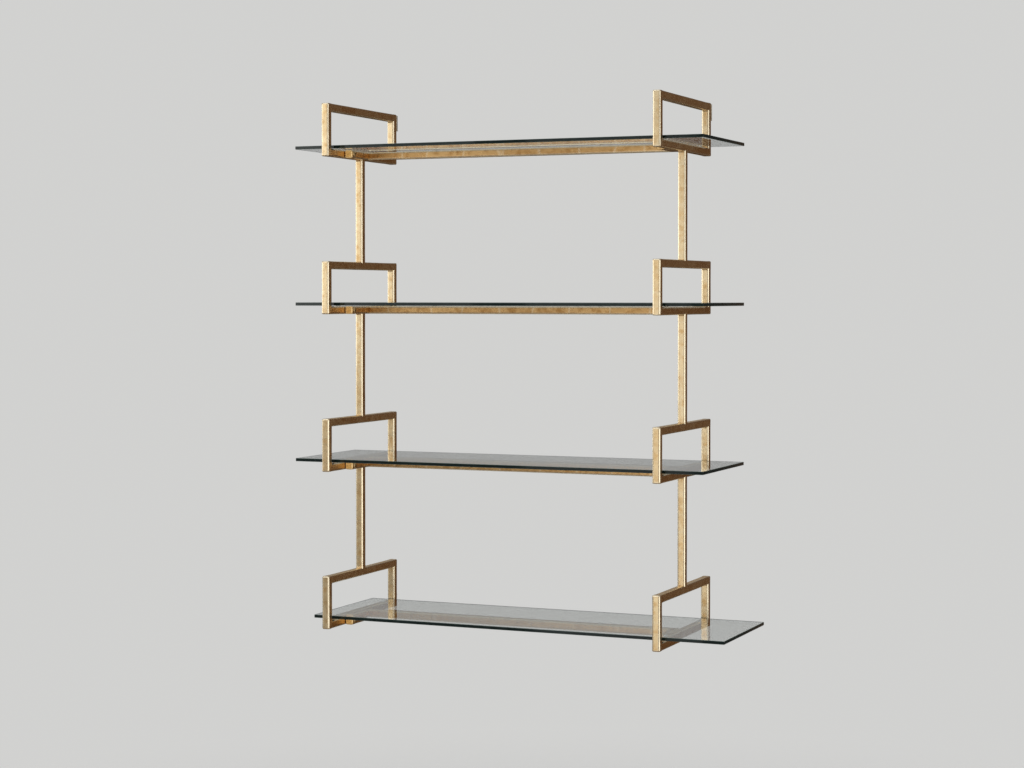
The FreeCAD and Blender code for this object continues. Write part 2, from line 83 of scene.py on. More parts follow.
# Tests that tell edges and faces apart.
X_AXIS = 0
Z_AXIS = 2
MOST = 0.9               # share of a length that shows that an edge runs along it
LEVEL = 1e-6             # rise of an edge that counts as level, in metres
SQUARE_ON = 0.99         # share of a face's normal along the axis that it faces
EDGE_ON = 0.01           # and along an axis that it lies in
ENDWAYS = 0.9            # share of an edge's normal to the left or right at a pane's two ends
SLANTED = 0.5            # share of an arris's normal, both up and back, along the rear top edge that is painted pale, a painted highlight
SMOOTH_METAL = 35        # degrees between two faces that still shade as one
SMOOTH_GLASS = 25

# Turns of a piece that was modelled up the Z axis.
QUARTER_TURN = math.radians(90)
UP = (0.0, 0.0, 0.0)
DOWN = (2 * QUARTER_TURN, 0.0, 0.0)
BACK = (-QUARTER_TURN, 0.0, 0.0)
FORWARD = (QUARTER_TURN, 0.0, 0.0)
ACROSS = (0.0, QUARTER_TURN, 0.0)


# Modelling helpers


def start_clean():
    """Back to object mode with nothing selected."""
    if bpy.context.mode != "OBJECT":
        bpy.ops.object.mode_set(mode="OBJECT")
    bpy.ops.object.select_all(action="DESELECT")


def take(piece):
    """Selects one piece and makes it the active one."""
    start_clean()
    piece.select_set(True)
    bpy.context.view_layer.objects.active = piece


def pick(piece, kind, wanted):
    """In edit mode, selects only the edges or faces that pass the test."""
    bpy.ops.mesh.select_mode(type=kind)
    bpy.ops.mesh.select_all(action="DESELECT")
    form = bmesh.from_edit_mesh(piece.data)
    choice = {"EDGE": form.edges, "FACE": form.faces}[kind]
    for item in choice:
        if wanted(item):
            item.select_set(True)
    bmesh.update_edit_mesh(piece.data)


def along(edge, axis):
    """How much of an edge's length lies along an axis, in metres."""
    return abs((edge.verts[1].co - edge.verts[0].co)[axis])


def block(name, size, centre):
    """A block of that size at that place, with its size and place in its mesh."""
    start_clean()
    bpy.ops.mesh.primitive_cube_add(size=1.0, location=centre)
    piece = bpy.context.object
    piece.name = name
    piece.data.name = name
    piece.scale = size
    bpy.ops.object.transform_apply(location=True, rotation=True, scale=True)
    return piece


def copy_of(stock, name, turn, place):
    """A copy of a stock piece with its own mesh, turned and put in its place."""
    take(stock)
    bpy.ops.object.duplicate(linked=False)
    piece = bpy.context.object
    piece.name = name
    piece.data.name = name
    piece.rotation_euler = turn
    piece.location = place
    bpy.ops.object.transform_apply(location=True, rotation=True, scale=True)
    return piece


def discard(stock):
    """Takes a stock piece away once its copies are made."""
    bpy.data.objects.remove(stock, do_unlink=True)


def join_as(name, copies):
    """Joins copies into one piece."""
    start_clean()
    for one in copies:
        one.select_set(True)
    bpy.context.view_layer.objects.active = copies[0]
    bpy.ops.object.join()
    copies[0].name = name
    copies[0].data.name = name
    return copies[0]


def ease(value, low, high):
    """0 below low, 1 above high, and smooth between."""
    share = min(1.0, max(0.0, (value - low) / (high - low)))
    return share * share * (3.0 - 2.0 * share)


def smooth(piece, degrees):
    """Smooth shading that keeps edges sharper than the angle."""
    take(piece)
    bpy.ops.object.shade_smooth_by_angle(angle=math.radians(degrees))


def finish_piece(piece, body, slot, *nodes):
    """Puts a finished piece in its body and hides the nodes that it stands for; the slot is not used."""
    if nodes:
        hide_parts(*nodes)
    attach(piece, body)


def gild(piece, material, *nodes):
    """Lays the leaf on a finished iron piece."""
    piece.data.materials.append(material)
    finish_piece(piece, "frame", "gold_leaf", *nodes)


def box_middle(node):
    """The middle of a CAD node's box."""
    low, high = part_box(node)
    return (low + high) / 2


# Square tube


def note(piece, label, level):
    """Notes a level on each vertex, worked out from its place, for the finish to use."""
    layer = piece.data.attributes.new(label, "FLOAT", "POINT")
    layer.data.foreach_set("value", [level(spot.co) for spot in piece.data.vertices])


def mark_edges(piece, reach):
    """Notes how close each vertex is to an outer corner, for the wear of the leaf and for its painted
    highlight.
    """
    note(piece, "edge_wear_and_highlight", lambda spot: 1.0 - ease(reach(spot), WEAR_AND_HIGHLIGHT_FULL, WEAR_AND_HIGHLIGHT_END))


def mark_joint_shade(piece, side):
    """Notes how close each vertex is to the shelf bar beside it, for the painted shade in the joint."""
    note(piece, "joint_shade", lambda spot: 1.0 - ease(abs(spot.x - side), JOINT_SHADE_FULL, JOINT_SHADE_END))


def shouldered_block(name, width, length):
    """A square block up the Z axis from the origin with shouldered long edges, still in edit mode."""
    piece = block(name, (width, width, length), (0.0, 0.0, length / 2))
    bpy.ops.object.mode_set(mode="EDIT")
    pick(piece, "EDGE", lambda edge: along(edge, Z_AXIS) > MOST * length)
    bpy.ops.mesh.bevel(offset=SHOULDER, segments=SHOULDER_STEPS, profile=SHOULDER_FORM, affect="EDGES")
    return piece


def tube_stock(name, length, width):
    """A run of square tube up the Z axis from the origin, with rounded long edges and rings for the skin."""
    piece = shouldered_block(name, width, length)
    flat = width - 2 * SHOULDER
    pick(piece, "EDGE", lambda edge: along(edge, Z_AXIS) < LEVEL and edge.calc_length() > MOST * flat)
    bpy.ops.mesh.subdivide(number_cuts=FACE_CUTS)
    pick(piece, "EDGE", lambda edge: along(edge, Z_AXIS) > MOST * length)
    bpy.ops.mesh.subdivide(number_cuts=max(FEWEST_RINGS, round(length / RING_PITCH)))
    bpy.ops.object.mode_set(mode="OBJECT")
    half = width / 2
    mark_edges(piece, lambda spot: max(half - abs(spot.x), half - abs(spot.y)))
    sway = piece.vertex_groups.new(name="sway")
    for spot in piece.data.vertices:
        reach = min(spot.co.z, length - spot.co.z)
        sway.add([spot.index], ease(reach, SWAY_START, SWAY_FULL), "REPLACE")
    return piece


def skin_texture():
    """Soft clouds that make the beaten skin dip a little here and there."""
    texture = bpy.data.textures.new("skin_clouds", "CLOUDS")
    texture.noise_scale = SKIN_CLOUD
    texture.noise_depth = SKIN_DETAIL
    return texture


def uneven(piece, skin):
    """Lets the skin dip inwards a little, as hand-finished iron does, and smooths its corners."""
    take(piece)
    dip = piece.modifiers.new("skin", "DISPLACE")
    dip.texture = skin
    dip.texture_coords = "LOCAL"
    dip.mid_level = 1.0
    dip.strength = SKIN_SWAY
    dip.vertex_group = "sway"
    bpy.ops.object.modifier_apply(modifier="skin")
    piece.vertex_groups.clear()
    smooth(piece, SMOOTH_METAL)


def mitre(piece, corner, outward):
    """Cuts an end at 45 degrees through the corner and clears the side that outward points to."""
    take(piece)
    bpy.ops.object.mode_set(mode="EDIT")
    bpy.ops.mesh.select_all(action="SELECT")
    bpy.ops.mesh.bisect(plane_co=corner, plane_no=outward, use_fill=True, clear_outer=True)
    bpy.ops.mesh.select_all(action="SELECT")
    bpy.ops.mesh.normals_make_consistent(inside=False)
    bpy.ops.object.mode_set(mode="OBJECT")


def model_loops(leaf, shelf_leaf, skin):
    """The eight loops: uprights first, then the head and shelf bars between them."""
    low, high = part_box("left_top_loop_front_upright")
    width = high.x - low.x
    upright = tube_stock("upright_stock", high.z - low.z, width)
    low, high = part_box("left_top_loop_head_bar")
    bar = tube_stock("bar_stock", high.y - low.y + 2 * RUN_IN, width)
    for side in SIDES:
        for tier in TIERS:
            for part in UPRIGHTS:
                node = f"{side}_{tier}_loop_{part}"
                place = box_middle(node)
                place.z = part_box(node)[0].z
                piece = copy_of(upright, node + "_gilt", UP, place)
                uneven(piece, skin)
                gild(piece, leaf, node)
            for part, finish in (("head_bar", leaf), ("shelf_bar", shelf_leaf)):
                node = f"{side}_{tier}_loop_{part}"
                place = box_middle(node)
                place.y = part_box(node)[0].y - RUN_IN
                piece = copy_of(bar, node + "_gilt", BACK, place)
                uneven(piece, skin)
                gild(piece, finish, node)
    discard(upright)
    discard(bar)


def model_posts(leaf, skin):
    """The six posts that join the loops of a side into a ladder."""
    low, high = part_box("left_upper_post")
    post = tube_stock("post_stock", high.z - low.z + 2 * RUN_IN, high.x - low.x)
    for side in SIDES:
        for name in POSTS:
            node = f"{side}_{name}_post"
            place = box_middle(node)
            place.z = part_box(node)[0].z - RUN_IN
            piece = copy_of(post, node + "_gilt", UP, place)
            uneven(piece, skin)
            gild(piece, leaf, node)
    discard(post)


def model_crossbars(leaf, skin):
    """The four crossbars with their two mitred arms."""
    low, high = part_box("top_crossbar")
    width = high.z - low.z
    crossbar = tube_stock("crossbar_stock", high.x - low.x, width)
    low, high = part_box("top_crossbar_left_arm")
    arm = tube_stock("arm_stock", high.y - low.y, width)
    for tier in TIERS:
        node = f"{tier}_crossbar"
        low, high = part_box(node)
        place = box_middle(node)
        place.x = low.x
        piece = copy_of(crossbar, node + "_gilt", ACROSS, place)
        mitre(piece, high, (1.0, -1.0, 0.0))
        mitre(piece, (low.x, high.y, high.z), (-1.0, -1.0, 0.0))
        uneven(piece, skin)
        gild(piece, leaf, node)
        for side, way, end in (("left", 1.0, low.x), ("right", -1.0, high.x)):
            node = f"{tier}_crossbar_{side}_arm"
            place = box_middle(node)
            place.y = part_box(node)[0].y
            piece = copy_of(arm, node + "_gilt", BACK, place)
            mitre(piece, (end, high.y, high.z), (way, 1.0, 0.0))
            uneven(piece, skin)
            gild(piece, leaf, node)
    discard(crossbar)
    discard(arm)


def draw_face(rise, draw):
    """Draws the picked face up by a rise and in by a factor, with a new band round it."""
    bpy.ops.mesh.extrude_region_move(TRANSFORM_OT_translate={"value": (0.0, 0.0, rise)})
    bpy.ops.transform.resize(value=(draw, draw, 1.0))


def cap_stock(width, thick):
    """One closed tube end: a slice of tube whose face is drawn up and in, ring by ring, to a soft edge."""
    half = width / 2
    piece = shouldered_block("cap_stock", width, thick - CAP_ROUNDING)
    pick(piece, "FACE", lambda face: face.normal.z > SQUARE_ON)
    rise, draw = 0.0, 1.0
    for ring in range(1, CAP_RINGS + 1):
        turn = QUARTER_TURN * ring / CAP_RINGS
        next_rise = CAP_ROUNDING * math.sin(turn)
        next_draw = 1.0 - CAP_ROUNDING * (1.0 - math.cos(turn)) / half
        draw_face(next_rise - rise, next_draw / draw)
        rise, draw = next_rise, next_draw
    draw_face(0.0, CAP_FLAT)
    bpy.ops.object.mode_set(mode="OBJECT")

    def reach(spot):
        """How far a place on the cap lies from its outer edge."""
        inward = min(half - abs(spot.x), half - abs(spot.y))
        return max(inward, thick - spot.z)

    mark_edges(piece, reach)
    return piece


def model_caps(leaf, arm_leaf):
    """The closed ends of the uprights and the arms: one cap modelled, then one on every end."""
    low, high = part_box("left_top_loop_front_upright")
    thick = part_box("left_top_loop_head_bar")[1].z - high.z
    cap = cap_stock(high.x - low.x, thick)
    ends = []
    arm_ends = []
    for side in SIDES:
        for tier in TIERS:
            for part in UPRIGHTS:
                low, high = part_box(f"{side}_{tier}_loop_{part}")
                place = (low + high) / 2
                ends.append(copy_of(cap, "cap", UP, (place.x, place.y, high.z)))
                ends.append(copy_of(cap, "cap", DOWN, (place.x, place.y, low.z)))
            low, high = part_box(f"{tier}_crossbar_{side}_arm")
            place = (low + high) / 2
            arm_end = copy_of(cap, "arm_cap", FORWARD, (place.x, low.y, place.z))
            mark_joint_shade(arm_end, low.x if side == "left" else high.x)
            arm_ends.append(arm_end)
    discard(cap)
    for finish, group in ((leaf, ends), (arm_leaf, arm_ends)):
        for one in group:
            one.data.materials.append(finish)
    caps = join_as("tube_end_caps_gilt", ends + arm_ends)
    smooth(caps, SMOOTH_METAL)
    finish_piece(caps, "frame", "gold_leaf", "tube_end_caps")


def fillet_stock(run):
    """One weld fillet along X with its hollow face towards +Y and +Z."""
    piece = block("fillet_stock", (run, WELD, WELD), (0.0, WELD / 2, WELD / 2))
    bpy.ops.object.mode_set(mode="EDIT")
    pick(piece, "EDGE", lambda edge: all(min(spot.co.y, spot.co.z) > MOST * WELD for spot in edge.verts))
    bpy.ops.mesh.bevel(offset=WELD_HOLLOW * WELD, segments=WELD_STEPS, profile=WELD_FORM, affect="EDGES")
    pick(piece, "EDGE", lambda edge: along(edge, X_AXIS) > MOST * run)
    bpy.ops.mesh.subdivide(number_cuts=WELD_CUTS)
    bpy.ops.object.mode_set(mode="OBJECT")
    mark_edges(piece, lambda spot: WELD_REACH)
    return piece


def four_fillets(fillet, across, front, rear, foot, head):
    """A copy of the fillet in each of four corners, a quarter turn apart."""
    spots = ((front, foot), (rear, foot), (rear, head), (front, head))
    copies = []
    for quarter, (y, z) in enumerate(spots):
        turn = (quarter * QUARTER_TURN, 0.0, 0.0)
        copies.append(copy_of(fillet, "weld", turn, (across, y, z)))
    return copies


def model_welds(leaf):
    """Small weld fillets in the inner corners of the loops and at the posts' ends."""
    low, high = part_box("left_top_loop_front_upright")
    fillet = fillet_stock(high.x - low.x - 2 * CORNER)
    copies = []
    for side in SIDES:
        for tier in TIERS:
            loop = f"{side}_{tier}_loop_"
            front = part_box(loop + "front_upright")[1].y
            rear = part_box(loop + "rear_upright")[0].y
            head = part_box(loop + "head_bar")[0].z
            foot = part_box(loop + "shelf_bar")[1].z
            across = box_middle(loop + "head_bar").x
            copies += four_fillets(fillet, across, front, rear, foot, head)
        for name in POSTS:
            low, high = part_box(f"{side}_{name}_post")
            across = (low.x + high.x) / 2
            copies += four_fillets(fillet, across, high.y, low.y, low.z, high.z)
    discard(fillet)
    welds = join_as("weld_fillets_gilt", copies)
    smooth(welds, SMOOTH_METAL)
    gild(welds, leaf)


# Glass panes

# A pane's finishes, in the order in which they are laid on it.
FACE_FINISH, EDGE_FINISH, ARRIS_FINISH, LIT_ARRIS_FINISH, END_FINISH = range(5)


def pane_finish(normal):
    """Which finish a part of a pane takes, from the way that it faces."""
    slope = abs(normal.z)
    if slope > SQUARE_ON:
        return FACE_FINISH
    if slope < EDGE_ON:
        return END_FINISH if abs(normal.x) > ENDWAYS else EDGE_FINISH
    return LIT_ARRIS_FINISH if min(normal.y, normal.z) > SLANTED else ARRIS_FINISH


def model_panes(finishes):
    """The four loose panes: clear faces, polished edges painted dark and a fine ground arris between them,
    painted dark too and pale along the rear top edge as a painted highlight.
    """
    for tier in TIERS:
        node = f"{tier}_glass_shelf"
        low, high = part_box(node)
        thick = high.z - low.z
        piece = block(f"{tier}_pane_polished", high - low, (low + high) / 2)
        bpy.ops.object.mode_set(mode="EDIT")
        pick(piece, "EDGE", lambda edge: along(edge, Z_AXIS) > MOST * thick)
        bpy.ops.mesh.bevel(offset=PANE_CORNER, segments=PANE_CORNER_STEPS, affect="EDGES")
        pick(piece, "EDGE", lambda edge: along(edge, Z_AXIS) < LEVEL)
        bpy.ops.mesh.bevel(offset=ARRIS, segments=1, affect="EDGES")
        bpy.ops.object.mode_set(mode="OBJECT")
        for finish in finishes:
            piece.data.materials.append(finish)
        for flat in piece.data.polygons:
            flat.material_index = pane_finish(flat.normal)
        smooth(piece, SMOOTH_GLASS)
        finish_piece(piece, f"{tier}_pane", "clear_glass", node)


# Shader helpers

# Places of a Mix node's sockets when it mixes colours.
MIX_SHARE = 0
MIX_FIRST = 6
MIX_SECOND = 7
MIX_RESULT = 2


def add(tree, kind, **settings):
    """Adds a node with its settings."""
    node = tree.nodes.new(kind)
    for key, value in settings.items():
        setattr(node, key, value)
    return node


def put(node, **values):
    """Sets a node's inputs by name, with _ for a space."""
    for key, value in values.items():
        node.inputs[key.replace("_", " ")].default_value = value
    return node


def math_node(tree, operation, *values):
    """Arithmetic on values that are each a socket or a number."""
    node = add(tree, "ShaderNodeMath", operation=operation)
    for index, value in enumerate(values):
        if isinstance(value, (int, float)):
            node.inputs[index].default_value = value
        else:
            tree.links.new(value, node.inputs[index])
    return node.outputs[0]


def times(tree, first, second):
    """One mask times another, or times a number."""
    return math_node(tree, "MULTIPLY", first, second)


def without(tree, mask, taken):
    """A mask less what another one covers."""
    return times(tree, mask, math_node(tree, "SUBTRACT", 1.0, taken))


def scaled(tree, vector, factor):
    """A vector times a socket or number."""
    node = add(tree, "ShaderNodeVectorMath", operation="SCALE")
    tree.links.new(vector, node.inputs[0])
    if isinstance(factor, (int, float)):
        node.inputs["Scale"].default_value = factor
    else:
        tree.links.new(factor, node.inputs["Scale"])
    return node.outputs[0]


def ramp(tree, value, low, high, start=0.0, end=1.0):
    """Maps low to high onto start to end, smoothly and clamped."""
    node = add(tree, "ShaderNodeMapRange", interpolation_type="SMOOTHSTEP")
    tree.links.new(value, node.inputs["Value"])
    put(node, From_Min=low, From_Max=high, To_Min=start, To_Max=end)
    return node.outputs[0]


def noise(tree, vector, scale, detail, roughness):
    """Noise of that scale; its Fac socket."""
    node = add(tree, "ShaderNodeTexNoise")
    put(node, Scale=scale, Detail=detail, Roughness=roughness)
    tree.links.new(vector, node.inputs["Vector"])
    return node.outputs["Fac"]


def cells(tree, vector, feature, scatter):
    """A pattern of cells, about one to each unit of the vector."""
    node = add(tree, "ShaderNodeTexVoronoi", feature=feature)
    put(node, Scale=1.0, Randomness=scatter)
    tree.links.new(vector, node.inputs["Vector"])
    return node


def cell_tones(tree, vector, scatter):
    """One tone for each cell."""
    split = add(tree, "ShaderNodeSeparateColor")
    tree.links.new(cells(tree, vector, "F1", scatter).outputs["Color"], split.inputs[0])
    return split.outputs[0]


def blend_colour(tree, share, first, second):
    """Mixes two colours, each a socket or a plain colour, by a mask."""
    node = add(tree, "ShaderNodeMix", data_type="RGBA", blend_type="MIX")
    tree.links.new(share, node.inputs[MIX_SHARE])
    for index, value in ((MIX_FIRST, first), (MIX_SECOND, second)):
        if isinstance(value, bpy.types.NodeSocket):
            tree.links.new(value, node.inputs[index])
        else:
            node.inputs[index].default_value = (*value, 1.0)
    return node.outputs[MIX_RESULT]


def mix_to_surface(tree, share, first, second):
    """Shows the first shader, and the second as far as the mask says."""
    mixed = add(tree, "ShaderNodeMixShader")
    for index, socket in enumerate((share, first.outputs[0], second.outputs[0])):
        tree.links.new(socket, mixed.inputs[index])
    tree.links.new(mixed.outputs[0], tree.nodes["Material Output"].inputs["Surface"])


def raise_surface(tree, shader, height, strength, distance):
    """Lets a height move the light on the surface as if it were uneven."""
    bump = put(add(tree, "ShaderNodeBump"), Strength=strength, Distance=distance)
    tree.links.new(height, bump.inputs["Height"])
    tree.links.new(bump.outputs["Normal"], shader.inputs["Normal"])


def new_group(name, numbers, masks):
    """A shader node group, from the surface's place and some numbers to masks, and its two end nodes."""
    group = bpy.data.node_groups.new(name, "ShaderNodeTree")
    group.interface.new_socket(name="Place", in_out="INPUT", socket_type="NodeSocketVector")
    for label in numbers:
        group.interface.new_socket(name=label, in_out="INPUT", socket_type="NodeSocketFloat")
    for label in masks:
        group.interface.new_socket(name=label, in_out="OUTPUT", socket_type="NodeSocketFloat")
    return group, group.nodes.new("NodeGroupInput"), group.nodes.new("NodeGroupOutput")


def measured_in(group, start, label):
    """The surface's place, measured in one of the group's own sizes."""
    return scaled(group, start.outputs["Place"], math_node(group, "DIVIDE", 1.0, start.outputs[label]))


def place_group(tree, group, spot, **values):
    """Puts a group in a material, fed with the surface's place and its own values."""
    node = add(tree, "ShaderNodeGroup", node_tree=group)
    tree.links.new(spot, node.inputs["Place"])
    return put(node, **values)


# Patterns

# A noise is given by its scale, detail and roughness, and a span by where its mask starts and is full.
TEAR_SCALE = 1.7         # wander of the leaf's torn edges
TEAR_DETAIL = 3.0
TEAR = 0.22              # how far they wander, in sheets
SHEET_SCATTER = 0.45     # how unevenly the sheets are laid
SEAM_WIDTH = 0.045       # in sheets
BLOTCH_NOISE = (1.0, 3.0, 0.5)
BLOTCH_SPAN = (0.42, 0.72)
SPECKLE_NOISE = (3.0, 2.0, 0.55)
SPECKLE_SPAN = (0.58, 0.78)
CRINKLE_NOISE = (1.4, 2.0, 0.5)
RUB_NOISE = (62.0, 5.0, 0.7)
RUB_AT_EDGE = 0.5        # how much a corner adds to that noise
RUB_SPAN = (0.70, 0.80)
SPANGLE_SCATTER = 1.0
SCRATCH_STRETCH = (1.0, 1.0, 14.0)
SCRATCH_NOISE = (1.0, 4.0, 0.55)
FILM_NOISE = (1.0, 5.0, 0.65)
FILM_SPAN = (0.45, 0.8)


def sheets_group():
    """Leaf laid in overlapping squares: a tone for each square and the seams between them."""
    group, start, end = new_group("leaf_sheets", ("Sheet",), ("Tone", "Seam"))
    place = measured_in(group, start, "Sheet")
    wander = put(add(group, "ShaderNodeTexNoise"), Scale=TEAR_SCALE, Detail=TEAR_DETAIL)
    group.links.new(place, wander.inputs["Vector"])
    torn = add(group, "ShaderNodeVectorMath", operation="ADD")
    group.links.new(place, torn.inputs[0])
    group.links.new(scaled(group, wander.outputs["Color"], TEAR), torn.inputs[1])
    group.links.new(cell_tones(group, torn.outputs[0], SHEET_SCATTER), end.inputs["Tone"])
    lines = cells(group, torn.outputs[0], "DISTANCE_TO_EDGE", SHEET_SCATTER)
    seam = ramp(group, lines.outputs["Distance"], 0.0, SEAM_WIDTH, 1.0, 0.0)
    group.links.new(seam, end.inputs["Seam"])
    return group


def mottle_group():
    """Blotches, speckles and crinkles of laid leaf."""
    group, start, end = new_group("leaf_mottle", ("Patch",), ("Blotch", "Speckle", "Crinkle"))
    place = measured_in(group, start, "Patch")
    blotch = ramp(group, noise(group, place, *BLOTCH_NOISE), *BLOTCH_SPAN)
    group.links.new(blotch, end.inputs["Blotch"])
    speckle = ramp(group, noise(group, place, *SPECKLE_NOISE), *SPECKLE_SPAN)
    group.links.new(speckle, end.inputs["Speckle"])
    group.links.new(noise(group, place, *CRINKLE_NOISE), end.inputs["Crinkle"])
    return group


def rub_group():
    """Where handling has rubbed the leaf through to the clay, mostly along the corners."""
    group, start, end = new_group("rub_through", ("Edge", "Amount"), ("Rub",))
    patchy = noise(group, start.outputs["Place"], *RUB_NOISE)
    edge = times(group, start.outputs["Edge"], start.outputs["Amount"])
    total = math_node(group, "ADD", patchy, times(group, edge, RUB_AT_EDGE))
    group.links.new(ramp(group, total, *RUB_SPAN), end.inputs["Rub"])
    return group


def grain_group():
    """Crystal spangle and fine scratches of plated steel."""
    group, start, end = new_group("plated_grain", ("Grain",), ("Tone", "Scratch"))
    place = measured_in(group, start, "Grain")
    group.links.new(cell_tones(group, place, SPANGLE_SCATTER), end.inputs["Tone"])
    drawn = put(add(group, "ShaderNodeMapping"), Scale=SCRATCH_STRETCH)
    group.links.new(place, drawn.inputs["Vector"])
    group.links.new(noise(group, drawn.outputs[0], *SCRATCH_NOISE), end.inputs["Scratch"])
    return group


def film_group():
    """The faint uneven film that handling leaves on glass and clear plastic."""
    group, start, end = new_group("handling_film", ("Smear",), ("Film",))
    place = measured_in(group, start, "Smear")
    film = ramp(group, noise(group, place, *FILM_NOISE), *FILM_SPAN)
    group.links.new(film, end.inputs["Film"])
    return group


# Finishes, in linear colour

PALE_LEAF = (0.90, 0.72, 0.44)
WARM_LEAF = (0.73, 0.49, 0.23)
RICH_LEAF = (0.65, 0.41, 0.175)
SEAM_LEAF = (0.93, 0.80, 0.56)
# Painted highlight: the pale tone laid along the corners where the light catches them.
PAINTED_HIGHLIGHT_LEAF = (0.96, 0.86, 0.66)
DEEP_LEAF = (0.46, 0.25, 0.085)
AMBER_LEAF = (0.84, 0.46, 0.11)
# The arm ends' painted highlight tone.
BRIGHT_AMBER = (0.94, 0.58, 0.17)
PAINTED_HIGHLIGHT_AMBER = (0.94, 0.66, 0.32)
# Painted shade in the joint between an arm's end and the shelf bar.
PAINTED_JOINT_SHADE = (0.16, 0.055, 0.014)
CLAY = (0.21, 0.075, 0.03)
ZINC = ((0.60, 0.60, 0.58), (0.74, 0.75, 0.76))
BRASS = ((0.44, 0.31, 0.15), (0.56, 0.42, 0.23))

# Each leaf's two tones, the size of its blotches in metres, the rubbing of its corners and its roughness.
# The arm ends also have a painted highlight of their own, painted shade in the joint beside the shelf bar,
# and a leaf that is only half metallic.
LEAVES = {
    "gold_leaf_loops": ((PALE_LEAF, WARM_LEAF), 0.013, 0.06, 0.21),
    # Painted reflection: the shelf bars take a warmer, more orange copy of the leaf for the warm light that
    # the gilt parts throw onto one another.
    "gold_leaf_shelf_bars_painted_warm_light": ((WARM_LEAF, RICH_LEAF), 0.013, 0.06, 0.21),
    # Painted shade: the crossbars, under the panes and between the loops, take a darker copy of the leaf.
    "gold_leaf_crossbars_painted_shade": ((RICH_LEAF, DEEP_LEAF), 0.013, 0.06, 0.21),
    "gold_leaf_ends": ((PALE_LEAF, WARM_LEAF), 0.010, 0.06, 0.22),
    # Painted reflection: the arm ends take a brighter, more orange, half-metallic copy of the leaf for the
    # warm gilt that their faces mirror.
    "gold_leaf_arm_ends_painted_reflection": ((BRIGHT_AMBER, AMBER_LEAF), 0.008, 0.04, 0.25, PAINTED_HIGHLIGHT_AMBER, PAINTED_JOINT_SHADE, 0.5),
    "gold_leaf_welds": ((WARM_LEAF, RICH_LEAF), 0.006, 0.12, 0.28),
}
SHEET = 0.078            # a sheet of leaf, in metres
SHEET_SHADE = 0.35       # how far one sheet may differ from the next
SPECKLE_SHADE = 0.3
SEAM_SHADE = 0.3
PAINTED_HIGHLIGHT = 0.85           # how far the corners are painted paler, a painted highlight where the light catches them
CLAY_METAL = 0.35        # metallic share where the clay shows
CRINKLE_ROUGHNESS = 0.16
CLAY_ROUGHNESS = 0.2
PAINTED_HIGHLIGHT_GLOSS = 0.09
SEAM_RISE = 0.5
LEAF_BUMP = (0.15, 0.0003)

# Each plated metal's tones, the size of its spangle in metres and its roughness.
BOLT_PLATING = (BRASS, 0.0016, 0.30)
NUT_PLATING = (ZINC, 0.0016, 0.34)
HANGER_PLATING = (ZINC, 0.004, 0.30)
SCRATCH_ROUGHNESS = 0.22
PLATED_BUMP = (0.2, 0.0001)

# Glass and bumpers: the size of the film's smears in metres, the tones without and with film, the roughness
# that the film adds, and the roughness without it.
FACE_FILM = (0.06, ((0.955, 0.985, 0.972), (0.93, 0.965, 0.955)), 0.004, 0.0)
# The edges' and arrises' dark tones are painted shade: the darkness of light lost across the whole width of
# the pane.
EDGE_FILM = (0.03, ((0.004, 0.010, 0.009), (0.012, 0.022, 0.020)), 0.1, 0.06)
END_EDGE_FILM = (0.03, ((0.010, 0.016, 0.016), (0.024, 0.034, 0.033)), 0.1, 0.06)
ARRIS_FILM = (0.01, ((0.05, 0.085, 0.075), (0.12, 0.16, 0.15)), 0.2, 0.3)
# The rear top arris's pale tones are a painted highlight, where it catches the light.
LIT_ARRIS_FILM = (0.01, ((0.55, 0.62, 0.60), (0.70, 0.76, 0.74)), 0.2, 0.3)
BUMPER_FILM = (0.004, ((0.86, 0.88, 0.87), (0.72, 0.74, 0.73)), 0.25, 0.18)
GLASS_IOR = 1.5
BUMPER_IOR = 1.48
EDGE_SHINE = 0.25
END_EDGE_SHINE = 0.08
BUMPER_CLEAR = 0.75      # share of a bumper's light that comes through it
PANE_PASSES = 0.92       # share of the light that a pane lets into its shadow
BUMPER_PASSES = 0.7


def new_material(name):
    """A material with its Principled shader and the surface's place."""
    material = bpy.data.materials.new(name)
    material.use_nodes = True
    tree = material.node_tree
    place = add(tree, "ShaderNodeTexCoord").outputs["Object"]
    return material, tree, tree.nodes["Principled BSDF"], place


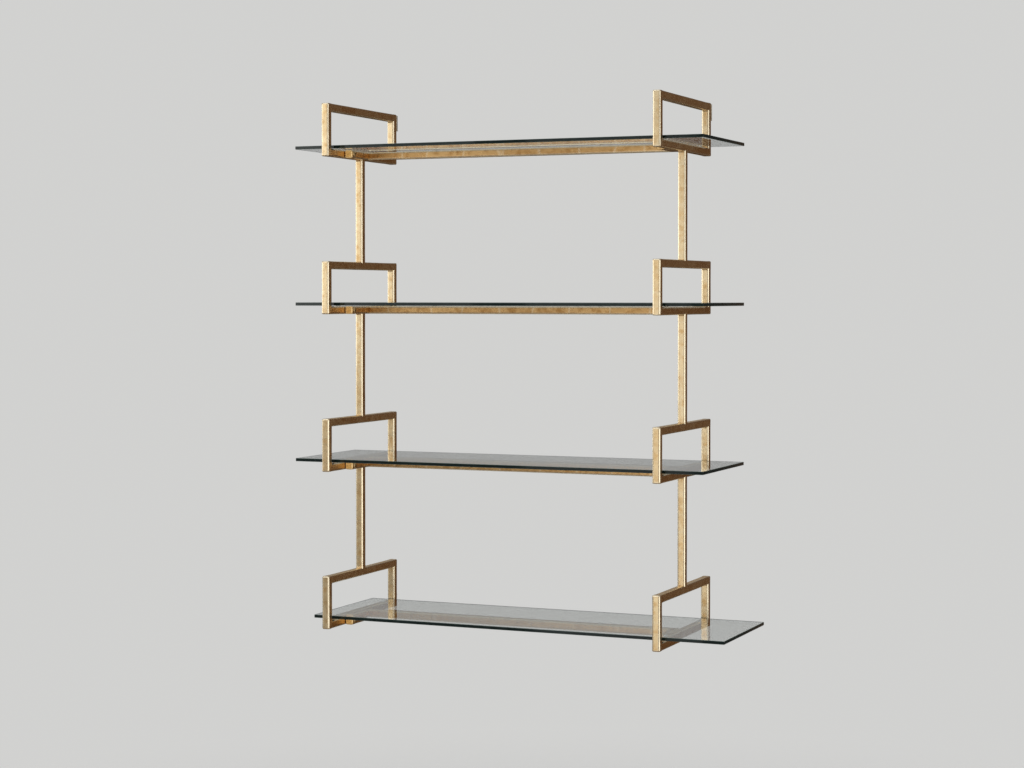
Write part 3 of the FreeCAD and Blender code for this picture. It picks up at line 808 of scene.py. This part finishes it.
def leaf_material(name, groups, tones, patch, rub, gloss, highlight_tone=PAINTED_HIGHLIGHT_LEAF, joint_shade_tone=None, metal=1.0):
    """Gold leaf over clay on iron: squares, blotches, speckles, pale laps and rubbed corners, with a painted
    highlight along the corners and, on the arm ends, painted shade in the joint.
    """
    material, tree, shader, place = new_material(name)
    sheets = place_group(tree, groups["sheets"], place, Sheet=SHEET)
    mottle = place_group(tree, groups["mottle"], place, Patch=patch)
    worn = place_group(tree, groups["rub"], place, Amount=rub)
    edge = add(tree, "ShaderNodeAttribute", attribute_name="edge_wear_and_highlight")
    tree.links.new(edge.outputs["Fac"], worn.inputs["Edge"])
    colour = blend_colour(tree, mottle.outputs["Blotch"], *tones)
    tone = ramp(tree, sheets.outputs["Tone"], 0.0, 1.0, 0.0, SHEET_SHADE)
    colour = blend_colour(tree, tone, colour, tones[1])
    speckle = times(tree, mottle.outputs["Speckle"], SPECKLE_SHADE)
    colour = blend_colour(tree, speckle, colour, DEEP_LEAF)
    seam = times(tree, sheets.outputs["Seam"], SEAM_SHADE)
    colour = blend_colour(tree, seam, colour, SEAM_LEAF)
    # Painted highlight: the corners are painted paler and a little glossier, where the light catches them.
    highlight_share = times(tree, edge.outputs["Fac"], PAINTED_HIGHLIGHT)
    colour = blend_colour(tree, highlight_share, colour, highlight_tone)
    # Painted shade: an arm end darkens in the joint beside the shelf bar.
    if joint_shade_tone:
        joint = add(tree, "ShaderNodeAttribute", attribute_name="joint_shade")
        colour = blend_colour(tree, joint.outputs["Fac"], colour, joint_shade_tone)
    colour = blend_colour(tree, worn.outputs["Rub"], colour, CLAY)
    tree.links.new(colour, shader.inputs["Base Color"])
    metallic = ramp(tree, worn.outputs["Rub"], 0.0, 1.0, metal, CLAY_METAL)
    tree.links.new(metallic, shader.inputs["Metallic"])
    rough = math_node(tree, "MULTIPLY_ADD", mottle.outputs["Crinkle"], CRINKLE_ROUGHNESS, gloss)
    rough = math_node(tree, "ADD", rough, times(tree, worn.outputs["Rub"], CLAY_ROUGHNESS))
    rough = math_node(tree, "SUBTRACT", rough, times(tree, highlight_share, PAINTED_HIGHLIGHT_GLOSS))
    tree.links.new(rough, shader.inputs["Roughness"])
    height = math_node(tree, "ADD", mottle.outputs["Crinkle"], times(tree, seam, SEAM_RISE))
    raise_surface(tree, shader, height, *LEAF_BUMP)
    return material


def plated_material(name, groups, tones, grain, gloss):
    """Plated steel with its spangle and fine scratches."""
    material, tree, shader, place = new_material(name)
    plated = place_group(tree, groups["grain"], place, Grain=grain)
    colour = blend_colour(tree, plated.outputs["Tone"], *tones)
    tree.links.new(colour, shader.inputs["Base Color"])
    put(shader, Metallic=1.0)
    rough = math_node(tree, "MULTIPLY_ADD", plated.outputs["Scratch"], SCRATCH_ROUGHNESS, gloss)
    tree.links.new(rough, shader.inputs["Roughness"])
    raise_surface(tree, shader, plated.outputs["Scratch"], *PLATED_BUMP)
    return material


def filmed_material(name, groups, smear, tones, film_roughness, clean_roughness):
    """A material whose tone and roughness follow the film of handling on it."""
    material, tree, shader, place = new_material(name)
    film = place_group(tree, groups["film"], place, Smear=smear).outputs["Film"]
    tree.links.new(blend_colour(tree, film, *tones), shader.inputs["Base Color"])
    rough = math_node(tree, "MULTIPLY_ADD", film, film_roughness, clean_roughness)
    tree.links.new(rough, shader.inputs["Roughness"])
    return material, tree, shader


def let_light_through(tree, shader, share):
    """Shadow rays pass a clear piece, so that it throws a faint shadow and not a solid one."""
    path = add(tree, "ShaderNodeLightPath")
    passing = add(tree, "ShaderNodeBsdfTransparent")
    mix_to_surface(tree, times(tree, path.outputs["Is Shadow Ray"], share), shader, passing)


def pane_face_material(groups):
    """Clear float glass with a faint green cast and a trace of handling."""
    material, tree, shader = filmed_material("glass_face", groups, *FACE_FILM)
    put(shader, Transmission_Weight=1.0, IOR=GLASS_IOR)
    let_light_through(tree, shader, PANE_PASSES)
    return material


def pane_edge_material(name, groups, film, shine):
    """A polished edge, dark green because the light comes through the whole width of the pane."""
    material, _, shader = filmed_material(name, groups, *film)
    put(shader, IOR=GLASS_IOR, Specular_IOR_Level=shine)
    return material


def pane_arris_material(name, groups, film):
    """The ground arris, matt, in painted tones: dark like the edges, and paler as a painted highlight where
    it catches the light.
    """
    material, _, shader = filmed_material(name, groups, *film)
    put(shader, IOR=GLASS_IOR)
    return material


def bumper_material(groups):
    """Soft clear bumper, slightly milky."""
    material, tree, shader = filmed_material("clear_bumper_soft", groups, *BUMPER_FILM)
    put(shader, Transmission_Weight=BUMPER_CLEAR, IOR=BUMPER_IOR)
    let_light_through(tree, shader, BUMPER_PASSES)
    return material


def finish_hardware(groups):
    """Better finishes for the CAD pieces whose shape is right."""
    finishes = {
        "crossbar_bolts": plated_material("brassed_bolts", groups, *BOLT_PLATING),
        "rivet_nuts": plated_material("zinc_nuts", groups, *NUT_PLATING),
        "wall_hangers": plated_material("zinc_plate", groups, *HANGER_PLATING),
        "shelf_bumpers": bumper_material(groups),
    }
    finishes["wall_bumpers"] = finishes["shelf_bumpers"]
    for node, material in finishes.items():
        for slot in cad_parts[node].material_slots:
            slot.material = material


# Studio

PALE = (0.64, 0.64, 0.63)
FILL = (0.72, 0.72, 0.72)
FLOOR_LEVEL = -1.77
FLOOR_RADIUS = 2.7
FLOOR_SIDES = 96
FLOOR_FADE = (0.9, 2.6)  # metres from the middle
FLOOR_NOISE = (30.0, 4.0, 0.55)
FLOOR_SPAN = (0.3, 0.7)
FLOOR_TONES = ((0.74, 0.74, 0.73), (0.76, 0.76, 0.75))

# What the metal mirrors. Each area has its direction, how square to it a ray is where its mask starts and
# where it is full, and its tone. An area hides the ones before it.
FRONT_TONE = (0.28, 0.27, 0.26)
OVERHEAD = (((0.0, 0.0, 1.0), 0.25, 0.8), (0.80, 0.80, 0.79))
BEHIND = (((-0.39, 0.92, 0.0), 0.2, 0.75), (0.15, 0.145, 0.14))
FLAGGED = (((0.64, 0.77, 0.0), 0.5, 0.8), (0.10, 0.057, 0.032))
UNDERFOOT = (((0.0, 0.0, -1.0), 0.22, 0.40), (0.24, 0.19, 0.14))
BACK_FOOT = (((-0.10, 0.995, 0.0), 0.70, 0.86), (0.10, 0.075, 0.05))
BACK_LOW = (((-0.385, 0.905, -0.18), 0.945, 0.982), (0.05, 0.03, 0.018))
BACK_HIGH = (((-0.38, 0.895, 0.235), 0.95, 0.985), (0.30, 0.265, 0.23))

# The low lit panels at the two sides, which also have the slopes of their foot and their head.
LEFT_PANEL = ((-0.985, -0.174, 0.0), 0.68, 0.82, -0.03, 0.07)
RIGHT_PANEL = ((0.966, -0.259, 0.0), 0.70, 0.85, -0.17, 0.07)
PANEL_TONE = (1.7, 1.68, 1.60)
PANEL_FADE = 0.05

# What a pane mirrors.
GLASS_TONE = (0.36, 0.364, 0.36)
STEEP = ((0.0, 0.0, -1.0), 0.12, 0.22)
ONE_BOUNCE = 1.5         # a count of mirror bounces below this is one or none

# Each softbox's place, the spot that it faces, its size and its brightness.
SOFTBOXES = {
    "key_left": ((-1.75, -2.4, 0.15), (-0.35, -0.3, -0.2), (1.3, 1.5), 0.92),
    "key_front": ((-0.25, -2.6, -0.75), (0.35, -0.3, -0.6), (1.0, 2.0), 0.72),
    "high_front": ((-0.5, -1.7, 1.7), (0.0, -0.2, -0.4), (2.2, 1.0), 1.1),
}

CAMERA_PLACE = (1.6698, -4.0953, -0.3559)
CAMERA_TURN = (math.radians(88.962), 0.0, math.radians(23.099))
CAMERA_LENS = 75.286     # in millimetres
SENSOR_WIDTH = 36.0
CAMERA_SHIFT = -0.0479


def floor_material():
    """A pale floor that keeps the shelf's shadow and fades into the background far out."""
    material, tree, shader, place = new_material("pale_floor")
    tree.nodes.remove(shader)
    far = add(tree, "ShaderNodeVectorMath", operation="LENGTH")
    tree.links.new(place, far.inputs[0])
    fade = ramp(tree, far.outputs["Value"], *FLOOR_FADE)
    grain = ramp(tree, noise(tree, place, *FLOOR_NOISE), *FLOOR_SPAN)
    matt = add(tree, "ShaderNodeBsdfDiffuse")
    tree.links.new(blend_colour(tree, grain, *FLOOR_TONES), matt.inputs["Color"])
    mix_to_surface(tree, fade, matt, add(tree, "ShaderNodeBsdfTransparent"))
    return material


def lay_floor():
    """A round pale floor below the hanging shelf, which the metal and the panes don't mirror."""
    start_clean()
    bpy.ops.mesh.primitive_circle_add(
        vertices=FLOOR_SIDES, radius=FLOOR_RADIUS, fill_type="NGON", location=(0.0, 0.0, FLOOR_LEVEL)
    )
    floor = bpy.context.object
    floor.name = "floor"
    floor.data.materials.append(floor_material())
    floor.visible_glossy = False


def facing(tree, direction, way, low, high):
    """How far a world direction points a given way, as a smooth mask."""
    node = add(tree, "ShaderNodeVectorMath", operation="DOT_PRODUCT")
    tree.links.new(direction, node.inputs[0])
    node.inputs[1].default_value = way
    return ramp(tree, node.outputs["Value"], low, high)


def low_panel(tree, direction, way, low, high, foot, head):
    """A mask for a low lit panel: towards one side, between the slopes of its foot and its head."""
    parts = add(tree, "ShaderNodeSeparateXYZ")
    tree.links.new(direction, parts.inputs[0])
    above = ramp(tree, parts.outputs["Z"], foot - PANEL_FADE, foot)
    below = ramp(tree, parts.outputs["Z"], head, head + PANEL_FADE, 1.0, 0.0)
    return times(tree, times(tree, above, below), facing(tree, direction, way, low, high))


def mirrored_studio(tree, direction):
    """The studio as the metal mirrors it: a tone for each direction."""
    span, tone = BACK_FOOT
    ground = blend_colour(tree, facing(tree, direction, *span), UNDERFOOT[1], tone)
    studio = FRONT_TONE
    for span, tone in (OVERHEAD, BEHIND, FLAGGED, (UNDERFOOT[0], ground), BACK_LOW, BACK_HIGH):
        studio = blend_colour(tree, facing(tree, direction, *span), studio, tone)
    for panel in (LEFT_PANEL, RIGHT_PANEL):
        studio = blend_colour(tree, low_panel(tree, direction, *panel), studio, PANEL_TONE)
    return studio


def light_world():
    """The studio round the shelf: a pale backdrop to look at, and darker and lit areas to mirror."""
    world = bpy.data.worlds.new("studio")
    bpy.context.scene.world = world
    world.use_nodes = True
    tree = world.node_tree
    surround = tree.nodes["Background"]
    direction = add(tree, "ShaderNodeTexCoord").outputs["Generated"]
    rays = add(tree, "ShaderNodeLightPath").outputs
    seen = math_node(tree, "MAXIMUM", rays["Is Camera Ray"], rays["Is Transmission Ray"])
    bounced = math_node(tree, "MINIMUM", rays["Glossy Depth"], 1.0)
    by_mirror = math_node(tree, "MAXIMUM", bounced, rays["Is Glossy Ray"])
    # A pane mirrors one even tone. Steeply down, the ray is one that metal mirrored through the pane, so it
    # keeps the tone that the metal mirrors there.
    first = math_node(tree, "LESS_THAN", rays["Glossy Depth"], ONE_BOUNCE)
    in_glass = times(tree, first, rays["Is Singular Ray"])
    steep = times(tree, facing(tree, direction, *STEEP), bounced)
    in_glass = without(tree, in_glass, steep)
    mirrored = blend_colour(tree, in_glass, mirrored_studio(tree, direction), GLASS_TONE)
    # Straight through a pane the backdrop is as pale as it is beside the pane.
    straight = without(tree, rays["Is Transmission Ray"], bounced)
    by_mirror = without(tree, by_mirror, straight)
    colour = blend_colour(tree, seen, FILL, PALE)
    colour = blend_colour(tree, by_mirror, colour, mirrored)
    tree.links.new(colour, surround.inputs["Color"])


def softbox(name, place, target, size, radiance):
    """A rectangular softbox of even brightness that the camera doesn't see, nor sees through the panes."""
    start_clean()
    bpy.ops.object.light_add(type="AREA", location=place)
    lamp = bpy.context.object
    lamp.name = name
    lamp.data.shape = "RECTANGLE"
    lamp.data.size = size[0]
    lamp.data.size_y = size[1]
    lamp.data.energy = radiance * math.pi * size[0] * size[1]
    lamp.rotation_euler = (Vector(target) - Vector(place)).to_track_quat("-Z", "Y").to_euler()
    lamp.visible_camera = False
    lamp.visible_transmission = False


def light_lamps():
    """Two softboxes at the front left and one high in front, which lights the upper edges."""
    for name, setting in SOFTBOXES.items():
        softbox(name, *setting)


def set_camera():
    """The camera at the photograph's place, tipped a little down, with the lens shift of its framing."""
    bpy.ops.object.camera_add(location=CAMERA_PLACE, rotation=CAMERA_TURN)
    camera = bpy.context.object
    camera.name = "photo_camera"
    camera.data.sensor_fit = "HORIZONTAL"
    camera.data.sensor_width = SENSOR_WIDTH
    camera.data.lens = CAMERA_LENS
    camera.data.shift_y = CAMERA_SHIFT
    camera.data.dof.use_dof = False
    bpy.context.scene.camera = camera
    bpy.context.scene.view_settings.view_transform = "Standard"


def build():
    """Finishes first, then the iron, the panes, the hardware and the studio."""
    groups = {
        "sheets": sheets_group(),
        "mottle": mottle_group(),
        "rub": rub_group(),
        "grain": grain_group(),
        "film": film_group(),
    }
    leaf = {name: leaf_material(name, groups, *finish) for name, finish in LEAVES.items()}
    skin = skin_texture()
    model_loops(leaf["gold_leaf_loops"], leaf["gold_leaf_shelf_bars_painted_warm_light"], skin)
    model_posts(leaf["gold_leaf_loops"], skin)
    model_crossbars(leaf["gold_leaf_crossbars_painted_shade"], skin)
    model_caps(leaf["gold_leaf_ends"], leaf["gold_leaf_arm_ends_painted_reflection"])
    model_welds(leaf["gold_leaf_welds"])
    pane_finishes = {
        FACE_FINISH: pane_face_material(groups),
        EDGE_FINISH: pane_edge_material("glass_edge", groups, EDGE_FILM, EDGE_SHINE),
        ARRIS_FINISH: pane_arris_material("glass_arris", groups, ARRIS_FILM),
        LIT_ARRIS_FINISH: pane_arris_material("glass_rear_arris_painted_highlight", groups, LIT_ARRIS_FILM),
        END_FINISH: pane_edge_material("glass_end_edge", groups, END_EDGE_FILM, END_EDGE_SHINE),
    }
    model_panes(pane_finishes.values())
    finish_hardware(groups)
    lay_floor()
    light_world()
    light_lamps()
    set_camera()


build()

start_clean()
